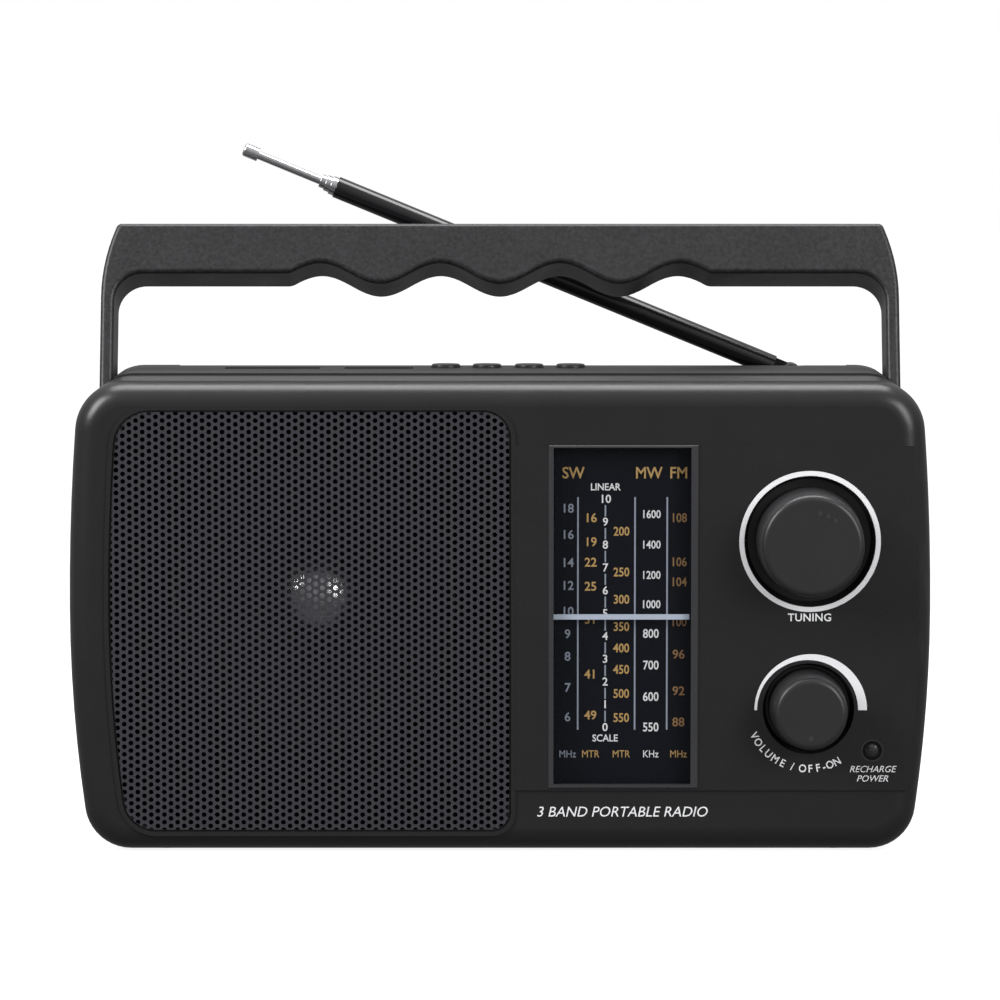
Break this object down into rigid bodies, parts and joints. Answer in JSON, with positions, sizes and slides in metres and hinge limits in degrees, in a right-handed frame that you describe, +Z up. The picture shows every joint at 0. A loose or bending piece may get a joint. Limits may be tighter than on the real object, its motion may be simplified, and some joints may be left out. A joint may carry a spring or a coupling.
{
  "type": "portable shortwave receiver",
  "caption": "Portable three-band shortwave receiver with carrying handle, telescopic antenna, speaker grille, vertical tuning dial and two rotary knobs.",
  "frame": {"origin": "middle of the bounding box at the level of the feet", "axes": "+Z up, -Y is the front with the dial and grille, +X is the user's right"},
  "size_m": [0.236, 0.0951, 0.1932],
  "materials": {
    "body_plastic": "fine satin texture",
    "grille_metal": "dark grey perforated sheet",
    "gloss_black": "glossy",
    "clear": "clear",
    "dial_black": "printed scale",
    "pointer_white": "white",
    "knob_plastic": "satin",
    "steel": "zinc plated",
    "screw_steel": "blackened",
    "brass": "turned",
    "chrome": "polished",
    "black_tube": "black gloss",
    "lamp": "smoked lens",
    "cord": "braided",
    "board": "green board",
    "components": "moulded",
    "ferrite": "ferrite",
    "copper": "enamelled wire",
    "paper": "pressed paper",
    "rubber": "matte",
    "cell": "labelled sleeve"
  },
  "bodies": {
    "cabinet": {"aerial_coils": "copper", "antenna_base": "steel", "band_switch_body": "steel", "battery_cells": "cell", "battery_contacts": "steel", "card_socket": "steel", "case_screws": "screw_steel", "chassis_plate": "steel", "circuit_components": "components", "dc_jack": "components", "dial_bezel": "gloss_black", "dial_cord": "cord", "dial_plate": "dial_black", "dial_window": "clear", "ear_jack": "components", "ferrite_rod": "ferrite", "front_shell": "body_plastic", "handle_pivots": "screw_steel", "if_cans": "steel", "led_lens": "lamp", "main_pcb": "board", "mains_inlet": "components", "mains_transformer": "steel", "media_boards": "board", "pointer_rail": "steel", "rear_shell": "body_plastic", "rubber_feet": "rubber", "speaker_basket": "steel", "speaker_cone": "paper", "speaker_dust_cap": "paper", "speaker_grille": "grille_metal", "speaker_magnet": "ferrite", "speaker_screws": "screw_steel", "spindle_bushes": "brass", "tact_switches": "steel", "tuning_capacitor": "components", "usb_socket": "steel", "volume_pot": "steel"},
    "door": {"battery_door": "body_plastic"},
    "handle_bail": {"handle": "body_plastic"},
    "swivel": {"antenna_fork": "chrome", "antenna_pin": "brass"},
    "whip_tube": {"antenna_tube_1": "black_tube"},
    "whip_second": {"antenna_tube_2": "chrome"},
    "whip_third": {"antenna_tube_3": "chrome"},
    "whip_fourth": {"antenna_tube_4": "chrome"},
    "whip_rod": {"antenna_rod": "chrome"},
    "tuner": {"tuning_knob": "knob_plastic", "tuning_spindle": "steel"},
    "volume": {"volume_knob": "knob_plastic", "volume_spindle": "steel"},
    "needle": {"pointer": "pointer_white"},
    "drum": {"tuning_drum": "pointer_white"},
    "upper_pulley": {"pulley_upper": "pointer_white"},
    "lower_pulley": {"pulley_lower": "pointer_white"},
    "band_slider": {"band_switch_knob": "knob_plastic"},
    "play": {"button_play": "knob_plastic"},
    "previous": {"button_previous": "knob_plastic"},
    "next": {"button_next": "knob_plastic"},
    "mode": {"button_mode": "knob_plastic"}
  },
  "joints": [
    {"name": "handle_swing", "type": "hinge", "parent": "cabinet", "child": "handle_bail", "pos_m": [0, 0.0095, 0.11], "axis": [-1, 0, 0], "range_deg": [-15.7, 4.5]},
    {"name": "antenna_swivel", "type": "hinge", "parent": "cabinet", "child": "swivel", "pos_m": [0.0835, 0.043, 0.1173], "axis": [0, 0, -1], "range_deg": [0, 180]},
    {"name": "antenna_tilt", "type": "hinge", "parent": "swivel", "child": "whip_tube", "pos_m": [0.0835, 0.043, 0.1273], "axis": [0, 1, 0], "range_deg": [-22.3, 67.7]},
    {"name": "antenna_slide_1", "type": "slide", "parent": "whip_tube", "child": "whip_second", "axis": [-0.9252, 0, 0.3795], "range_m": [0, 0.09]},
    {"name": "antenna_slide_2", "type": "slide", "parent": "whip_second", "child": "whip_third", "axis": [-0.9252, 0, 0.3795], "range_m": [0, 0.088]},
    {"name": "antenna_slide_3", "type": "slide", "parent": "whip_third", "child": "whip_fourth", "axis": [-0.9252, 0, 0.3795], "range_m": [0, 0.086]},
    {"name": "antenna_slide_4", "type": "slide", "parent": "whip_fourth", "child": "whip_rod", "axis": [-0.9252, 0, 0.3795], "range_m": [-0.017, 0.075]},
    {"name": "tuning_turn", "type": "hinge", "parent": "cabinet", "child": "tuner", "pos_m": [0.0845, 0, 0.0857], "axis": [0, 1, 0], "range_deg": [-500, 510]},
    {"name": "volume_turn", "type": "hinge", "parent": "cabinet", "child": "volume", "pos_m": [0.0843, 0, 0.0398], "axis": [0, 1, 0], "range_deg": [0, 300]},
    {"name": "pointer_slide", "type": "slide", "parent": "cabinet", "child": "needle", "axis": [0, 0, 1], "range_m": [-0.0305, 0.0311]},
    {"name": "drum_turn", "type": "hinge", "parent": "cabinet", "child": "drum", "pos_m": [0.04, 0, 0.05], "axis": [0, 1, 0], "range_deg": [-90, 92]},
    {"name": "upper_pulley_turn", "type": "hinge", "parent": "cabinet", "child": "upper_pulley", "pos_m": [0.0124, 0, 0.11], "axis": [0, 1, 0], "range_deg": [-445, 450]},
    {"name": "lower_pulley_turn", "type": "hinge", "parent": "cabinet", "child": "lower_pulley", "pos_m": [0.0124, 0, 0.02], "axis": [0, 1, 0], "range_deg": [-445, 450]},
    {"name": "band_switch_slide", "type": "slide", "parent": "cabinet", "child": "band_slider", "axis": [0, 0, 1], "range_m": [-0.004, 0.004]},
    {"name": "button_play_press", "type": "slide", "parent": "cabinet", "child": "play", "axis": [0, 0, -1], "range_m": [0, 0.0008], "stiffness_N_per_m": 400, "springref_m": -0.0005},
    {"name": "button_previous_press", "type": "slide", "parent": "cabinet", "child": "previous", "axis": [0, 0, -1], "range_m": [0, 0.0008], "stiffness_N_per_m": 400, "springref_m": -0.0005},
    {"name": "button_next_press", "type": "slide", "parent": "cabinet", "child": "next", "axis": [0, 0, -1], "range_m": [0, 0.0008], "stiffness_N_per_m": 400, "springref_m": -0.0005},
    {"name": "button_mode_press", "type": "slide", "parent": "cabinet", "child": "mode", "axis": [0, 0, -1], "range_m": [0, 0.0008], "stiffness_N_per_m": 400, "springref_m": -0.0005},
    {"name": "battery_door_swing", "type": "hinge", "parent": "cabinet", "child": "door", "pos_m": [0, 0.0464, 0.0084], "axis": [-1, 0, 0], "range_deg": [0, 88]}
  ],
  "couplings": [
    {"joint": "tuning_turn", "follows": "pointer_slide", "rad_per_m": 285.71},
    {"joint": "drum_turn", "follows": "pointer_slide", "rad_per_m": 50.761},
    {"joint": "upper_pulley_turn", "follows": "pointer_slide", "rad_per_m": 250},
    {"joint": "lower_pulley_turn", "follows": "pointer_slide", "rad_per_m": 250}
  ]
}
